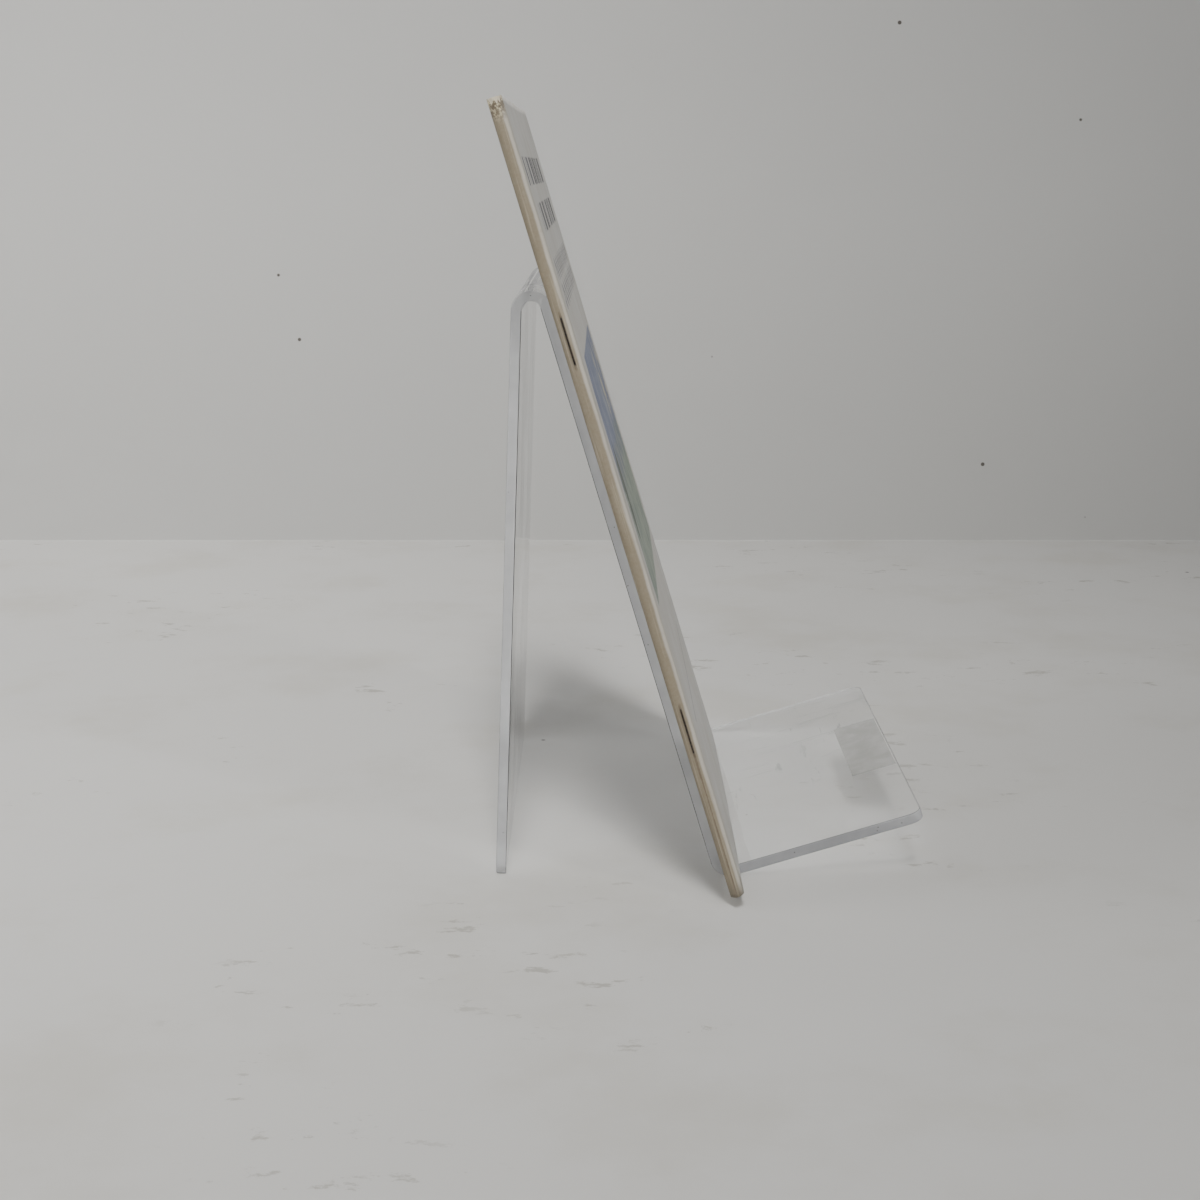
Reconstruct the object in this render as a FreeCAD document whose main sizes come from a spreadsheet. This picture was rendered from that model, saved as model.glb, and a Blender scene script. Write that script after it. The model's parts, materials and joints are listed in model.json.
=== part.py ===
import FreeCAD, Part
import math
import os
import Sketcher

# An easel for an album: one clear acrylic sheet, bent on two straight lines into a leg, a
# sloping back rest and a ledge, with the stapled album that stands on it.
# Frame: +Z up, the album's front looks towards -Y, its spine is on the -X side. The origin
# is under the middle of the whole object, on the surface that the foot stands on.

os.makedirs("parts", exist_ok=True)
doc = FreeCAD.newDocument("album_easel")

# ---------------------------------------------------------------- driving dimensions (mm, deg)
DRIVING = (
    ("sheet_thickness", 4.0),
    ("stand_width", 208.0),
    ("stand_height", 228.0),
    ("rest_lean", 16.9),
    ("leg_lean", 2.0),
    ("ledge_length", 81.0),
    ("bend_radius", 3.6),
    ("corner_radius", 6.0),
    ("edge_round", 0.5),
    ("label_length", 76.0),
    ("label_depth", 19.0),
    ("label_thickness", 0.1),
    ("label_inset", 1.0),
    ("label_from_side", 69.0),
    ("album_width", 228.6),
    ("album_height", 304.8),
    ("page_thickness", 0.15),
    ("fold_gap", 0.05),
    ("cover_thickness", 0.2),
    ("gutter", 1.0),
    ("side_overhang", 40.0),
    ("seat_gap", 1.1),
    ("wire_diameter", 0.6),
    ("wire_proud", 0.5),
    ("wire_bend", 0.5),
    ("wire_room", 0.05),
    ("staple_length", 17.0),
    ("clinch_length", 6.0),
    ("upper_staple", 0.71),
    ("lower_staple", 0.22),
)
SHEET_COUNT = 16

dims = doc.addObject("Spreadsheet::Sheet", "dims")
for row, (alias, value) in enumerate(DRIVING, start=1):
    dims.set(f"A{row}", alias)
    dims.set(f"B{row}", str(value))
    dims.setAlias(f"B{row}", alias)
doc.recompute()

thickness = dims.sheet_thickness
bend_inner = dims.bend_radius
bend_outer = bend_inner + thickness
lean = math.radians(dims.rest_lean)
leg_lean = math.radians(dims.leg_lean)
page = dims.page_thickness
half_pages = dims.fold_gap + SHEET_COUNT * page
half_album = half_pages + dims.cover_thickness

# ---------------------------------------------------------------- the side view's geometry
# Points are (y, z). The bottom bend's centre is above y = 0 until the part is placed.
up_rest = (math.sin(lean), math.cos(lean))
out_of_rest = (-math.cos(lean), math.sin(lean))
back_of_leg = (math.cos(leg_lean), math.sin(leg_lean))


def move(point, *steps):
    """The point after going each (direction, distance) in turn."""
    y, z = point
    for direction, distance in steps:
        y += direction[0] * distance
        z += direction[1] * distance
    return y, z


def on_floor(point):
    """Where the leg's line through the point meets the floor."""
    return point[0] + point[1] * math.tan(leg_lean), 0.0


low_centre = (0.0, bend_outer)
rise = dims.stand_height - 2 * bend_outer
setback = (bend_inner + bend_outer + rise * math.sin(lean)) / math.cos(lean)
top_centre = (setback, low_centre[1] + rise)
ledge_run = dims.ledge_length - bend_inner

leg_outer_top = move(top_centre, (back_of_leg, bend_outer))
leg_inner_top = move(top_centre, (back_of_leg, bend_inner))
foot_outer = on_floor(leg_outer_top)
foot_inner = on_floor(leg_inner_top)
rest_front_top = move(top_centre, (out_of_rest, bend_outer))
rest_back_top = move(top_centre, (out_of_rest, bend_inner))
rest_front_low = move(low_centre, (out_of_rest, -bend_inner))
rest_back_low = move(low_centre, (out_of_rest, -bend_outer))
ledge_top_start = move(low_centre, (up_rest, -bend_inner))
ledge_under_start = move(low_centre, (up_rest, -bend_outer))
tip_top = move(ledge_top_start, (out_of_rest, ledge_run))
tip_under = move(ledge_under_start, (out_of_rest, ledge_run))
seat_corner = move(rest_front_low, (up_rest, -bend_inner))

total_width = dims.side_overhang + dims.wire_proud + dims.stand_width
stand_x = (total_width - dims.stand_width) / 2
spine_x = dims.wire_proud - total_width / 2
shift_y = -(foot_outer[0] + tip_under[0]) / 2

leaning = FreeCAD.Rotation(FreeCAD.Vector(1, 0, 0), -dims.rest_lean)


def placed(x, point):
    """A placement at x and a side-view point, turned so that +Z runs up the back rest."""
    return FreeCAD.Placement(FreeCAD.Vector(x, point[0] + shift_y, point[1]), leaning)


album_foot = move(
    seat_corner,
    (out_of_rest, dims.seat_gap + half_album),
    (up_rest, dims.seat_gap),
)
album_place = placed(spine_x, album_foot)

sub_parts = []


def keep(obj, label, placement):
    """Names a finished sub-part and puts it in its place."""
    obj.Label = label
    obj.Placement = placement
    sub_parts.append(obj)
    return obj


# ---------------------------------------------------------------- small makers
def box(name, size, corner=None):
    """A box whose Length, Width and Height, and x, y, z corner, are formulas of the sheet."""
    obj = doc.addObject("Part::Box", name)
    for prop, formula in zip(("Length", "Width", "Height"), size):
        obj.setExpression(prop, formula)
    for axis, formula in zip("xyz", corner or ()):
        obj.setExpression(f"Placement.Base.{axis}", formula)
    return obj


def plane_of(body, role):
    """One of the body's own origin planes, found by its role."""
    return next(f for f in body.Origin.OriginFeatures if f.Role == role)


def sketch_on(body, name, role):
    """A sketch lying on one of the body's own origin planes."""
    sketch = body.newObject("Sketcher::SketchObject", name)
    sketch.AttachmentSupport = (plane_of(body, role), [""])
    sketch.MapMode = "FlatFace"
    return sketch


def line(sketch, start, end):
    """Adds a straight line and gives its number."""
    first = FreeCAD.Vector(start[0], start[1], 0)
    last = FreeCAD.Vector(end[0], end[1], 0)
    return sketch.addGeometry(Part.LineSegment(first, last), False)


def arc(sketch, centre, radius, start_deg, end_deg):
    """Adds an anticlockwise arc and gives its number."""
    middle = FreeCAD.Vector(centre[0], centre[1], 0)
    circle = Part.Circle(middle, FreeCAD.Vector(0, 0, 1), radius)
    turned = Part.ArcOfCircle(circle, math.radians(start_deg), math.radians(end_deg))
    return sketch.addGeometry(turned, False)


def size_of(sketch, name, formula, *constraint):
    """Adds a named dimension and binds it to the sheet."""
    number = sketch.addConstraint(Sketcher.Constraint(*constraint))
    sketch.renameConstraint(number, name)
    sketch.setExpression(f"Constraints.{name}", formula)


# ---------------------------------------------------------------- the bent acrylic sheet
START, END, CENTRE = 1, 2, 3
easel = doc.addObject("PartDesign::Body", "easel_sheet_body")
profile = sketch_on(easel, "side_view", "YZ_Plane")

leg_angle = dims.leg_lean
rest_angle = 180 - dims.rest_lean
leg_outer = line(profile, foot_outer, leg_outer_top)
top_outer = arc(profile, top_centre, bend_outer, leg_angle, rest_angle)
rest_front = line(profile, rest_front_top, rest_front_low)
low_inner = arc(profile, low_centre, bend_inner, rest_angle + 90, rest_angle + 180)
ledge_top = line(profile, ledge_top_start, tip_top)
ledge_tip = line(profile, tip_top, tip_under)
ledge_under = line(profile, tip_under, ledge_under_start)
low_outer = arc(profile, low_centre, bend_outer, rest_angle + 90, rest_angle + 180)
rest_back = line(profile, rest_back_low, rest_back_top)
top_inner = arc(profile, top_centre, bend_inner, leg_angle, rest_angle)
leg_inner = line(profile, leg_inner_top, foot_inner)
foot = line(profile, foot_inner, foot_outer)

for joined in (
    (leg_outer, END, top_outer, START),
    (top_outer, END, rest_front, START),
    (rest_front, END, low_inner, END),
    (low_inner, START, ledge_top, START),
    (ledge_under, END, low_outer, START),
    (low_outer, END, rest_back, START),
    (rest_back, END, top_inner, END),
    (top_inner, START, leg_inner, START),
):
    profile.addConstraint(Sketcher.Constraint("Tangent", *joined))
for corner in (
    (ledge_top, END, ledge_tip, START),
    (ledge_tip, END, ledge_under, START),
    (leg_inner, END, foot, START),
    (foot, END, leg_outer, START),
    (top_outer, CENTRE, top_inner, CENTRE),
    (low_outer, CENTRE, low_inner, CENTRE),
):
    profile.addConstraint(Sketcher.Constraint("Coincident", *corner))
profile.addConstraint(Sketcher.Constraint("PointOnObject", low_outer, CENTRE, -2))
profile.addConstraint(Sketcher.Constraint("PointOnObject", foot, END, -1))
profile.addConstraint(Sketcher.Constraint("Horizontal", foot))
profile.addConstraint(Sketcher.Constraint("Parallel", leg_outer, leg_inner))
profile.addConstraint(Sketcher.Constraint("Perpendicular", ledge_top, rest_back))
profile.addConstraint(Sketcher.Constraint("Parallel", ledge_top, ledge_under))
profile.addConstraint(Sketcher.Constraint("Perpendicular", ledge_tip, ledge_top))

outer_radius = "dims.bend_radius + dims.sheet_thickness"
for name, number, formula, value in (
    ("top_outer_radius", top_outer, outer_radius, bend_outer),
    ("top_inner_radius", top_inner, "dims.bend_radius", bend_inner),
    ("low_outer_radius", low_outer, outer_radius, bend_outer),
    ("low_inner_radius", low_inner, "dims.bend_radius", bend_inner),
):
    size_of(profile, name, formula, "Radius", number, value)
size_of(profile, "rest_angle", "(90 - dims.rest_lean) * 1 deg", "Angle", rest_back, math.pi / 2 - lean)
size_of(profile, "leg_angle", "(90 + dims.leg_lean) * 1 deg", "Angle", leg_outer, math.pi / 2 + leg_lean)
size_of(profile, "ledge_run", "dims.ledge_length - dims.bend_radius", "Distance", ledge_top, ledge_run)
size_of(
    profile, "low_bend_height", outer_radius,
    "DistanceY", -1, START, low_outer, CENTRE, bend_outer,
)
size_of(
    profile, "top_bend_rise", f"dims.stand_height - 2 * ({outer_radius})",
    "DistanceY", low_outer, CENTRE, top_outer, CENTRE, rise,
)

pad = easel.newObject("PartDesign::Pad", "sheet_pad")
pad.Profile = profile
pad.setExpression("Length", "dims.stand_width")
pad.Midplane = True
doc.recompute()


def edges_where(shape, wanted):
    """Names of the shape's edges that pass the test."""
    return [f"Edge{i}" for i, edge in enumerate(shape.Edges, start=1) if wanted(edge)]


def is_free_corner(edge):
    """A short edge through the sheet's thickness, at the foot or the ledge's tip."""
    middle = edge.BoundBox.Center
    at_side = abs(abs(middle.x) - dims.stand_width / 2) < 0.01
    at_foot = abs(middle.z) < 0.01 and middle.y > setback / 2
    at_tip = middle.y < tip_top[0] / 2 and edge.Length < 1.5 * thickness
    return at_side and (at_foot or at_tip)


corners = easel.newObject("PartDesign::Fillet", "rounded_corners")
corners.Base = (pad, edges_where(pad.Shape, is_free_corner))
corners.setExpression("Radius", "dims.corner_radius")
doc.recompute()

# The cut edge is polished all the way round, so both of its arrises are rounded.
cut_edge = {
    i
    for i, face in enumerate(corners.Shape.Faces)
    if abs(abs(face.BoundBox.Center.x) - dims.stand_width / 2) < 0.01 and face.BoundBox.XLength < 0.01
}
side_faces = [corners.Shape.Faces[i] for i in cut_edge]


def is_side_arris(edge):
    """An edge of one of the two long cut faces."""
    return any(edge.isSame(other) for face in side_faces for other in face.Edges)


polish = easel.newObject("PartDesign::Fillet", "polished_arrises")
polish.Base = (corners, edges_where(corners.Shape, is_side_arris))
polish.setExpression("Radius", "dims.edge_round")
polish.UseAllEdges = False
doc.recompute()
easel.Tip = polish
keep(easel, "easel_sheet", FreeCAD.Placement(FreeCAD.Vector(stand_x, shift_y, 0), FreeCAD.Rotation()))

# ---------------------------------------------------------------- blank label on the ledge
label_front = move(seat_corner, (out_of_rest, dims.ledge_length - dims.label_inset))
label_x = stand_x - dims.stand_width / 2 + dims.label_from_side
label = box("label_strip", ("dims.label_length", "dims.label_depth", "dims.label_thickness"))
keep(label, "ledge_label", placed(label_x, label_front))

# ---------------------------------------------------------------- the two wire staples
# Album frame: x from the spine to the fore edge, y = 0 at the centre fold with the front
# half at -y, z from the album's foot to its head.
fold_x = f"(dims.fold_gap + {SHEET_COUNT} * dims.page_thickness + dims.cover_thickness)"
wire_radius = dims.wire_diameter / 2
crown_x = wire_radius - dims.wire_proud
clinch_x = half_album + wire_radius


def staple_path(sketch, low, high, low_formula, high_formula):
    """Clinch, leg, crown, leg and clinch as one open line with rounded turns."""
    bend = dims.wire_bend
    inside = clinch_x - bend
    outside = crown_x + bend
    low_clinch = line(sketch, (clinch_x, low + dims.clinch_length), (clinch_x, low + bend))
    low_inside = arc(sketch, (inside, low + bend), bend, 270, 360)
    low_leg = line(sketch, (inside, low), (outside, low))
    low_outside = arc(sketch, (outside, low + bend), bend, 180, 270)
    crown = line(sketch, (crown_x, low + bend), (crown_x, high - bend))
    high_outside = arc(sketch, (outside, high - bend), bend, 90, 180)
    high_leg = line(sketch, (outside, high), (inside, high))
    high_inside = arc(sketch, (inside, high - bend), bend, 0, 90)
    high_clinch = line(sketch, (clinch_x, high - bend), (clinch_x, high - dims.clinch_length))
    for before, turn, after in (
        (low_clinch, low_inside, low_leg),
        (low_leg, low_outside, crown),
        (crown, high_outside, high_leg),
        (high_leg, high_inside, high_clinch),
    ):
        sketch.addConstraint(Sketcher.Constraint("Tangent", before, END, turn, END))
        sketch.addConstraint(Sketcher.Constraint("Tangent", turn, START, after, START))
        size_of(sketch, f"turn_{turn}", "dims.wire_bend", "Radius", turn, bend)
    for upright in (low_clinch, crown, high_clinch):
        sketch.addConstraint(Sketcher.Constraint("Vertical", upright))
    for level in (low_leg, high_leg):
        sketch.addConstraint(Sketcher.Constraint("Horizontal", level))
    clinch_formula = f"{fold_x} + dims.wire_diameter / 2"
    crown_formula = "dims.wire_diameter / 2 - dims.wire_proud"
    for name, direction, part, point, formula, value in (
        ("crown_place", "DistanceX", crown, START, crown_formula, crown_x),
        ("low_clinch_place", "DistanceX", low_clinch, START, clinch_formula, clinch_x),
        ("high_clinch_place", "DistanceX", high_clinch, END, clinch_formula, clinch_x),
        ("low_leg_place", "DistanceY", low_leg, START, low_formula, low),
        ("high_leg_place", "DistanceY", high_leg, START, high_formula, high),
    ):
        size_of(sketch, name, formula, direction, -1, START, part, point, value)
    tail = dims.clinch_length - bend
    tail_formula = "dims.clinch_length - dims.wire_bend"
    size_of(sketch, "low_tail", tail_formula, "Distance", low_clinch, tail)
    size_of(sketch, "high_tail", tail_formula, "Distance", high_clinch, tail)


def staple(name, share):
    """One staple whose middle is at that named share of the album's height."""
    body = doc.addObject("PartDesign::Body", f"{name}_body")
    low = dims.getPropertyByName(share) * dims.album_height - dims.staple_length / 2
    low_formula = f"dims.{share} * dims.album_height - dims.staple_length / 2"
    high_formula = f"dims.{share} * dims.album_height + dims.staple_length / 2"
    route = sketch_on(body, f"{name}_route", "XZ_Plane")
    staple_path(route, low, low + dims.staple_length, low_formula, high_formula)
    section = sketch_on(body, f"{name}_section", "XY_Plane")
    section.setExpression("AttachmentOffset.Base.z", f"{low_formula} + dims.clinch_length")
    middle = FreeCAD.Vector(clinch_x, 0, 0)
    circle = Part.Circle(middle, FreeCAD.Vector(0, 0, 1), wire_radius)
    ring = section.addGeometry(circle, False)
    section.addConstraint(Sketcher.Constraint("PointOnObject", ring, CENTRE, -1))
    size_of(section, "wire_radius", "dims.wire_diameter / 2", "Radius", ring, wire_radius)
    size_of(
        section, "wire_place", f"{fold_x} + dims.wire_diameter / 2",
        "DistanceX", -1, START, ring, CENTRE, clinch_x,
    )
    doc.recompute()
    pipe = body.newObject("PartDesign::AdditivePipe", f"{name}_wire")
    pipe.Profile = section
    pipe.Spine = (route, [f"Edge{i}" for i in range(1, len(route.Geometry) + 1)])
    keep(body, name, album_place)


def staple_room(name, share):
    """What one staple presses out of the folds: slots for its crown, legs and clinched ends."""
    room = "(dims.wire_diameter / 2 + dims.wire_room)"
    across = f"2 * {room}"
    low = f"(dims.{share} * dims.album_height - dims.staple_length / 2)"
    whole_length = f"dims.staple_length + {across}"
    crown_depth = "dims.wire_diameter + dims.wire_room"
    crown = box(
        f"{name}_crown_slot",
        (crown_depth, across, whole_length),
        ("-dims.wire_proud", f"-{room}", f"{low} - {room}"),
    )
    clinch = box(
        f"{name}_clinch_slot",
        ("dims.wire_diameter + dims.wire_room", across, whole_length),
        (fold_x, f"-{room}", f"{low} - {room}"),
    )
    innermost = doc.addObject("Part::Cylinder", f"{name}_fold_slot")
    innermost.setExpression("Radius", room)
    innermost.setExpression("Height", whole_length)
    innermost.setExpression("Placement.Base.x", fold_x)
    innermost.setExpression("Placement.Base.z", f"{low} - {room}")
    leg_size = (f"{fold_x} + dims.wire_proud", across, f"{across} + dims.wire_bend")
    high_leg = f"{low} + dims.staple_length - dims.wire_bend"
    legs = [
        box(f"{name}_{end}_leg_slot", leg_size, ("-dims.wire_proud", f"-{room}", f"{start} - {room}"))
        for end, start in (("low", low), ("high", high_leg))
    ]
    return [crown, clinch, innermost, *legs]


staple("upper_staple", "upper_staple")
staple("lower_staple", "lower_staple")
rooms = doc.addObject("Part::MultiFuse", "staple_rooms")
rooms.Shapes = staple_room("upper", "upper_staple") + staple_room("lower", "lower_staple")


# ---------------------------------------------------------------- cover and folded pages
def fold(name, inner, thick, inner_value, thick_value):
    """The fold of one sheet: a half-round with a short straight lap on each side.

    inner is the fold's inner radius and thick the sheet's thickness, as formulas and values.
    """
    body = doc.addObject("PartDesign::Body", f"{name}_body")
    end_view = sketch_on(body, f"{name}_end_view", "XY_Plane")
    outer_value = inner_value + thick_value
    lap_x = half_album + dims.gutter
    middle = (half_album, 0)
    back_outer = line(end_view, (half_album, outer_value), (lap_x, outer_value))
    back_end = line(end_view, (lap_x, outer_value), (lap_x, inner_value))
    back_inner = line(end_view, (lap_x, inner_value), (half_album, inner_value))
    inner_fold = arc(end_view, middle, inner_value, 90, 270)
    front_inner = line(end_view, (half_album, -inner_value), (lap_x, -inner_value))
    front_end = line(end_view, (lap_x, -inner_value), (lap_x, -outer_value))
    front_outer = line(end_view, (lap_x, -outer_value), (half_album, -outer_value))
    outer_fold = arc(end_view, middle, outer_value, 90, 270)
    for joined in (
        (back_outer, START, outer_fold, START),
        (back_inner, END, inner_fold, START),
        (inner_fold, END, front_inner, START),
        (front_outer, END, outer_fold, END),
    ):
        end_view.addConstraint(Sketcher.Constraint("Tangent", *joined))
    for corner in (
        (back_outer, END, back_end, START),
        (back_end, END, back_inner, START),
        (front_inner, END, front_end, START),
        (front_end, END, front_outer, START),
        (inner_fold, CENTRE, outer_fold, CENTRE),
    ):
        end_view.addConstraint(Sketcher.Constraint("Coincident", *corner))
    end_view.addConstraint(Sketcher.Constraint("PointOnObject", inner_fold, CENTRE, -1))
    for level in (back_outer, back_inner, front_inner, front_outer):
        end_view.addConstraint(Sketcher.Constraint("Horizontal", level))
    for upright in (back_end, front_end):
        end_view.addConstraint(Sketcher.Constraint("Vertical", upright))
    size_of(end_view, "inner_radius", inner, "Radius", inner_fold, inner_value)
    size_of(end_view, "outer_radius", f"{inner} + {thick}", "Radius", outer_fold, outer_value)
    size_of(
        end_view, "fold_depth", fold_x,
        "DistanceX", -1, START, inner_fold, CENTRE, half_album,
    )
    for side, lap in (("back", back_outer), ("front", front_inner)):
        size_of(
            end_view, f"{side}_lap", "dims.gutter",
            "DistanceX", lap, START, lap, END, dims.gutter,
        )
    tall = body.newObject("PartDesign::Pad", f"{name}_pad")
    tall.Profile = end_view
    tall.setExpression("Length", "dims.album_height")
    stapled = doc.addObject("Part::Cut", f"{name}_stapled")
    stapled.Base = body
    stapled.Tool = rooms
    return stapled


def flat_leaf(name, thick, y):
    """A leaf from the fold's lap to the fore edge, with its placement. y is its front face."""
    leaf = box(
        name,
        (f"dims.album_width - {fold_x} - dims.gutter", thick, "dims.album_height"),
    )
    corner = FreeCAD.Vector(half_album + dims.gutter, y, 0)
    in_album = FreeCAD.Placement(corner, FreeCAD.Rotation())
    return leaf, album_place.multiply(in_album)


spine = fold(
    "spine",
    f"(dims.fold_gap + {SHEET_COUNT} * dims.page_thickness)",
    "dims.cover_thickness",
    half_pages,
    dims.cover_thickness,
)
keep(spine, "cover_spine", album_place)
for side, y in (("front_cover", -half_album), ("back_cover", half_pages)):
    leaf, leaf_place = flat_leaf(f"{side}_leaf", "dims.cover_thickness", y)
    keep(leaf, side, leaf_place)

# Sheet 01 lies next to the cover, and the last one is the innermost.
for number in range(1, SHEET_COUNT + 1):
    layer = SHEET_COUNT - number
    inner_value = dims.fold_gap + layer * page
    inner = f"(dims.fold_gap + {layer} * dims.page_thickness)"
    name = f"sheet_{number:02d}"
    keep(fold(name, inner, "dims.page_thickness", inner_value, page), f"{name}_fold", album_place)
    for side, y in (("front", -inner_value - page), ("back", inner_value)):
        leaf, leaf_place = flat_leaf(f"{name}_{side}", "dims.page_thickness", y)
        keep(leaf, f"{name}_{side}_leaf", leaf_place)

# ---------------------------------------------------------------- checks and files
doc.recompute()
failed = [obj.Name for obj in doc.Objects if {"Invalid", "Error"} & set(obj.State)]
if failed:
    raise RuntimeError(f"these objects did not compute: {failed}")
for obj in sub_parts:
    if obj.Shape.isNull() or not obj.Shape.isValid() or obj.Shape.Volume <= 0:
        raise RuntimeError(f"{obj.Label} has no valid solid")
for obj in sub_parts:
    obj.Shape.exportStep(f"parts/{obj.Label}.step")
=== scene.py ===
import json
import math
import random

import bmesh
import bpy
from mathutils import Matrix, Vector


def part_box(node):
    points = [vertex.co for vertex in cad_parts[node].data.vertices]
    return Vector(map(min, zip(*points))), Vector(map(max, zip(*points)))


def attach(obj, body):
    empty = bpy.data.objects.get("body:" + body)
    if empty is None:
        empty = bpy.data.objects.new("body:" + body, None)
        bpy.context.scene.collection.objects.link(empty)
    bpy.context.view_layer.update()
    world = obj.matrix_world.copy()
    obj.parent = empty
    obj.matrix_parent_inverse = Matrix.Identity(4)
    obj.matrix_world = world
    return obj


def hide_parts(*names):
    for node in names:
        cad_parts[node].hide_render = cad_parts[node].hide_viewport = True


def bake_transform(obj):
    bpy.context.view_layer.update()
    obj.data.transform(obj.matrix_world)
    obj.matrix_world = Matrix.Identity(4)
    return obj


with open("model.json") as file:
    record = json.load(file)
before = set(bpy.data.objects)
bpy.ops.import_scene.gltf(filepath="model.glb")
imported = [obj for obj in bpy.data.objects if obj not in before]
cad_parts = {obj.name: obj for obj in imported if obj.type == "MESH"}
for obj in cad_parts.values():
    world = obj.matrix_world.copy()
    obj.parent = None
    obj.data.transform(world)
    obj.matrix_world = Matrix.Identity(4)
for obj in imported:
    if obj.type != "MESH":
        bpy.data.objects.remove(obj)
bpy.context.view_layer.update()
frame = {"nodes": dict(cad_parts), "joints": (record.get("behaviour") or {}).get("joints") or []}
scene = bpy.context.scene

# ---- The table and the wall behind it ------------------------------------------------
# A wide sheet of pale grey paper, laid flat on a table and turned up at the back to make a
# wall. It is matt, a little dirty, and has a few specks and scuffs. Not part of the object.
WALL_X = 0.685
COVE = 0.001
COVE_STEPS = 8
FLOOR_FRONT = -1.7
FLOOR_SIDE = 1.8
WALL_TOP = 2.0
PAPER_FLOOR = (0.62, 0.615, 0.60, 1)
PAPER_GREY = (0.60, 0.60, 0.59, 1)
PAPER_FOOT_SHADE = (0.44, 0.44, 0.43, 1)
PAPER_CLOUD = (0.50, 0.49, 0.46, 1)
PAPER_STAIN = (0.47, 0.445, 0.38, 1)
PAPER_RUB = (0.30, 0.285, 0.25, 1)
PAPER_FLECK = (0.10, 0.09, 0.08, 1)


def new_material(name):
    """A material with its nodes, its links and its Principled shader."""
    material = bpy.data.materials.new(name)
    material.use_nodes = True
    nodes = material.node_tree.nodes
    return material, nodes, material.node_tree.links, nodes["Principled BSDF"]


def noise_in(nodes, links, vector, scale, detail=4.0, roughness=0.55, distortion=0.0):
    """A noise texture that reads the given vector, and its Fac output."""
    texture = nodes.new("ShaderNodeTexNoise")
    texture.inputs["Scale"].default_value = scale
    texture.inputs["Detail"].default_value = detail
    texture.inputs["Roughness"].default_value = roughness
    texture.inputs["Distortion"].default_value = distortion
    links.new(vector, texture.inputs["Vector"])
    return texture.outputs["Fac"]


def window(nodes, links, value, low, high, to_low=0.0, to_high=1.0):
    """Maps value from low..high to to_low..to_high, clamped and smooth."""
    node = nodes.new("ShaderNodeMapRange")
    node.interpolation_type = "SMOOTHSTEP"
    node.inputs["From Min"].default_value = low
    node.inputs["From Max"].default_value = high
    node.inputs["To Min"].default_value = to_low
    node.inputs["To Max"].default_value = to_high
    links.new(value, node.inputs["Value"])
    return node.outputs["Result"]


def math_of(nodes, links, operation, first, second):
    """One Math node. Each input is a socket or a number."""
    node = nodes.new("ShaderNodeMath")
    node.operation = operation
    for socket, value in zip(node.inputs, (first, second)):
        if isinstance(value, (int, float)):
            socket.default_value = value
        else:
            links.new(value, socket)
    return node.outputs[0]


def times(nodes, links, first, second):
    """The product of two sockets or numbers."""
    return math_of(nodes, links, "MULTIPLY", first, second)


def mixed(nodes, links, factor, first, second):
    """One colour Mix node. Each colour is a socket or a tuple."""
    node = nodes.new("ShaderNodeMix")
    node.data_type = "RGBA"
    sockets = (node.inputs["Factor"], node.inputs[6], node.inputs[7])
    for socket, value in zip(sockets, (factor, first, second)):
        if isinstance(value, bpy.types.NodeSocket):
            links.new(value, socket)
        else:
            socket.default_value = value
    return node.outputs[2]


def bump_of(nodes, links, height, strength, distance, normal=None):
    """A Bump node on this height."""
    node = nodes.new("ShaderNodeBump")
    node.inputs["Strength"].default_value = strength
    node.inputs["Distance"].default_value = distance
    links.new(height, node.inputs["Height"])
    if normal is not None:
        links.new(normal, node.inputs["Normal"])
    return node.outputs["Normal"]


def paper_sweep():
    """The table and wall in one strip, with a tight cove where it turns up."""
    mesh = bpy.data.meshes.new("paper_sweep")
    sweep = bmesh.new()
    ends = [sweep.verts.new((FLOOR_FRONT, side, 0)) for side in (-FLOOR_SIDE, FLOOR_SIDE)]
    run = [sweep.edges.new(ends)]
    move = bmesh.ops.extrude_edge_only(sweep, edges=run)
    new = [v for v in move["geom"] if isinstance(v, bmesh.types.BMVert)]
    bmesh.ops.translate(sweep, verts=new, vec=(WALL_X - COVE - FLOOR_FRONT, 0, 0))
    edge = [e for e in move["geom"] if isinstance(e, bmesh.types.BMEdge)]
    edge = [e for e in edge if all(v in new for v in e.verts)]
    turn = bmesh.ops.spin(
        sweep, geom=edge + new, cent=(WALL_X - COVE, 0, COVE), axis=(0, -1, 0), angle=math.pi / 2,
        steps=COVE_STEPS, use_duplicate=False,
    )["geom_last"]
    edge = [e for e in turn if isinstance(e, bmesh.types.BMEdge)]
    move = bmesh.ops.extrude_edge_only(sweep, edges=edge)
    new = [v for v in move["geom"] if isinstance(v, bmesh.types.BMVert)]
    bmesh.ops.translate(sweep, verts=new, vec=(0, 0, WALL_TOP))
    sweep.normal_update()
    if sum(f.normal.z for f in sweep.faces) < 0:
        bmesh.ops.reverse_faces(sweep, faces=sweep.faces)
    for face in sweep.faces:
        face.smooth = True
    sweep.to_mesh(mesh)
    sweep.free()
    piece = bpy.data.objects.new("paper_sweep", mesh)
    scene.collection.objects.link(piece)
    return piece


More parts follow.
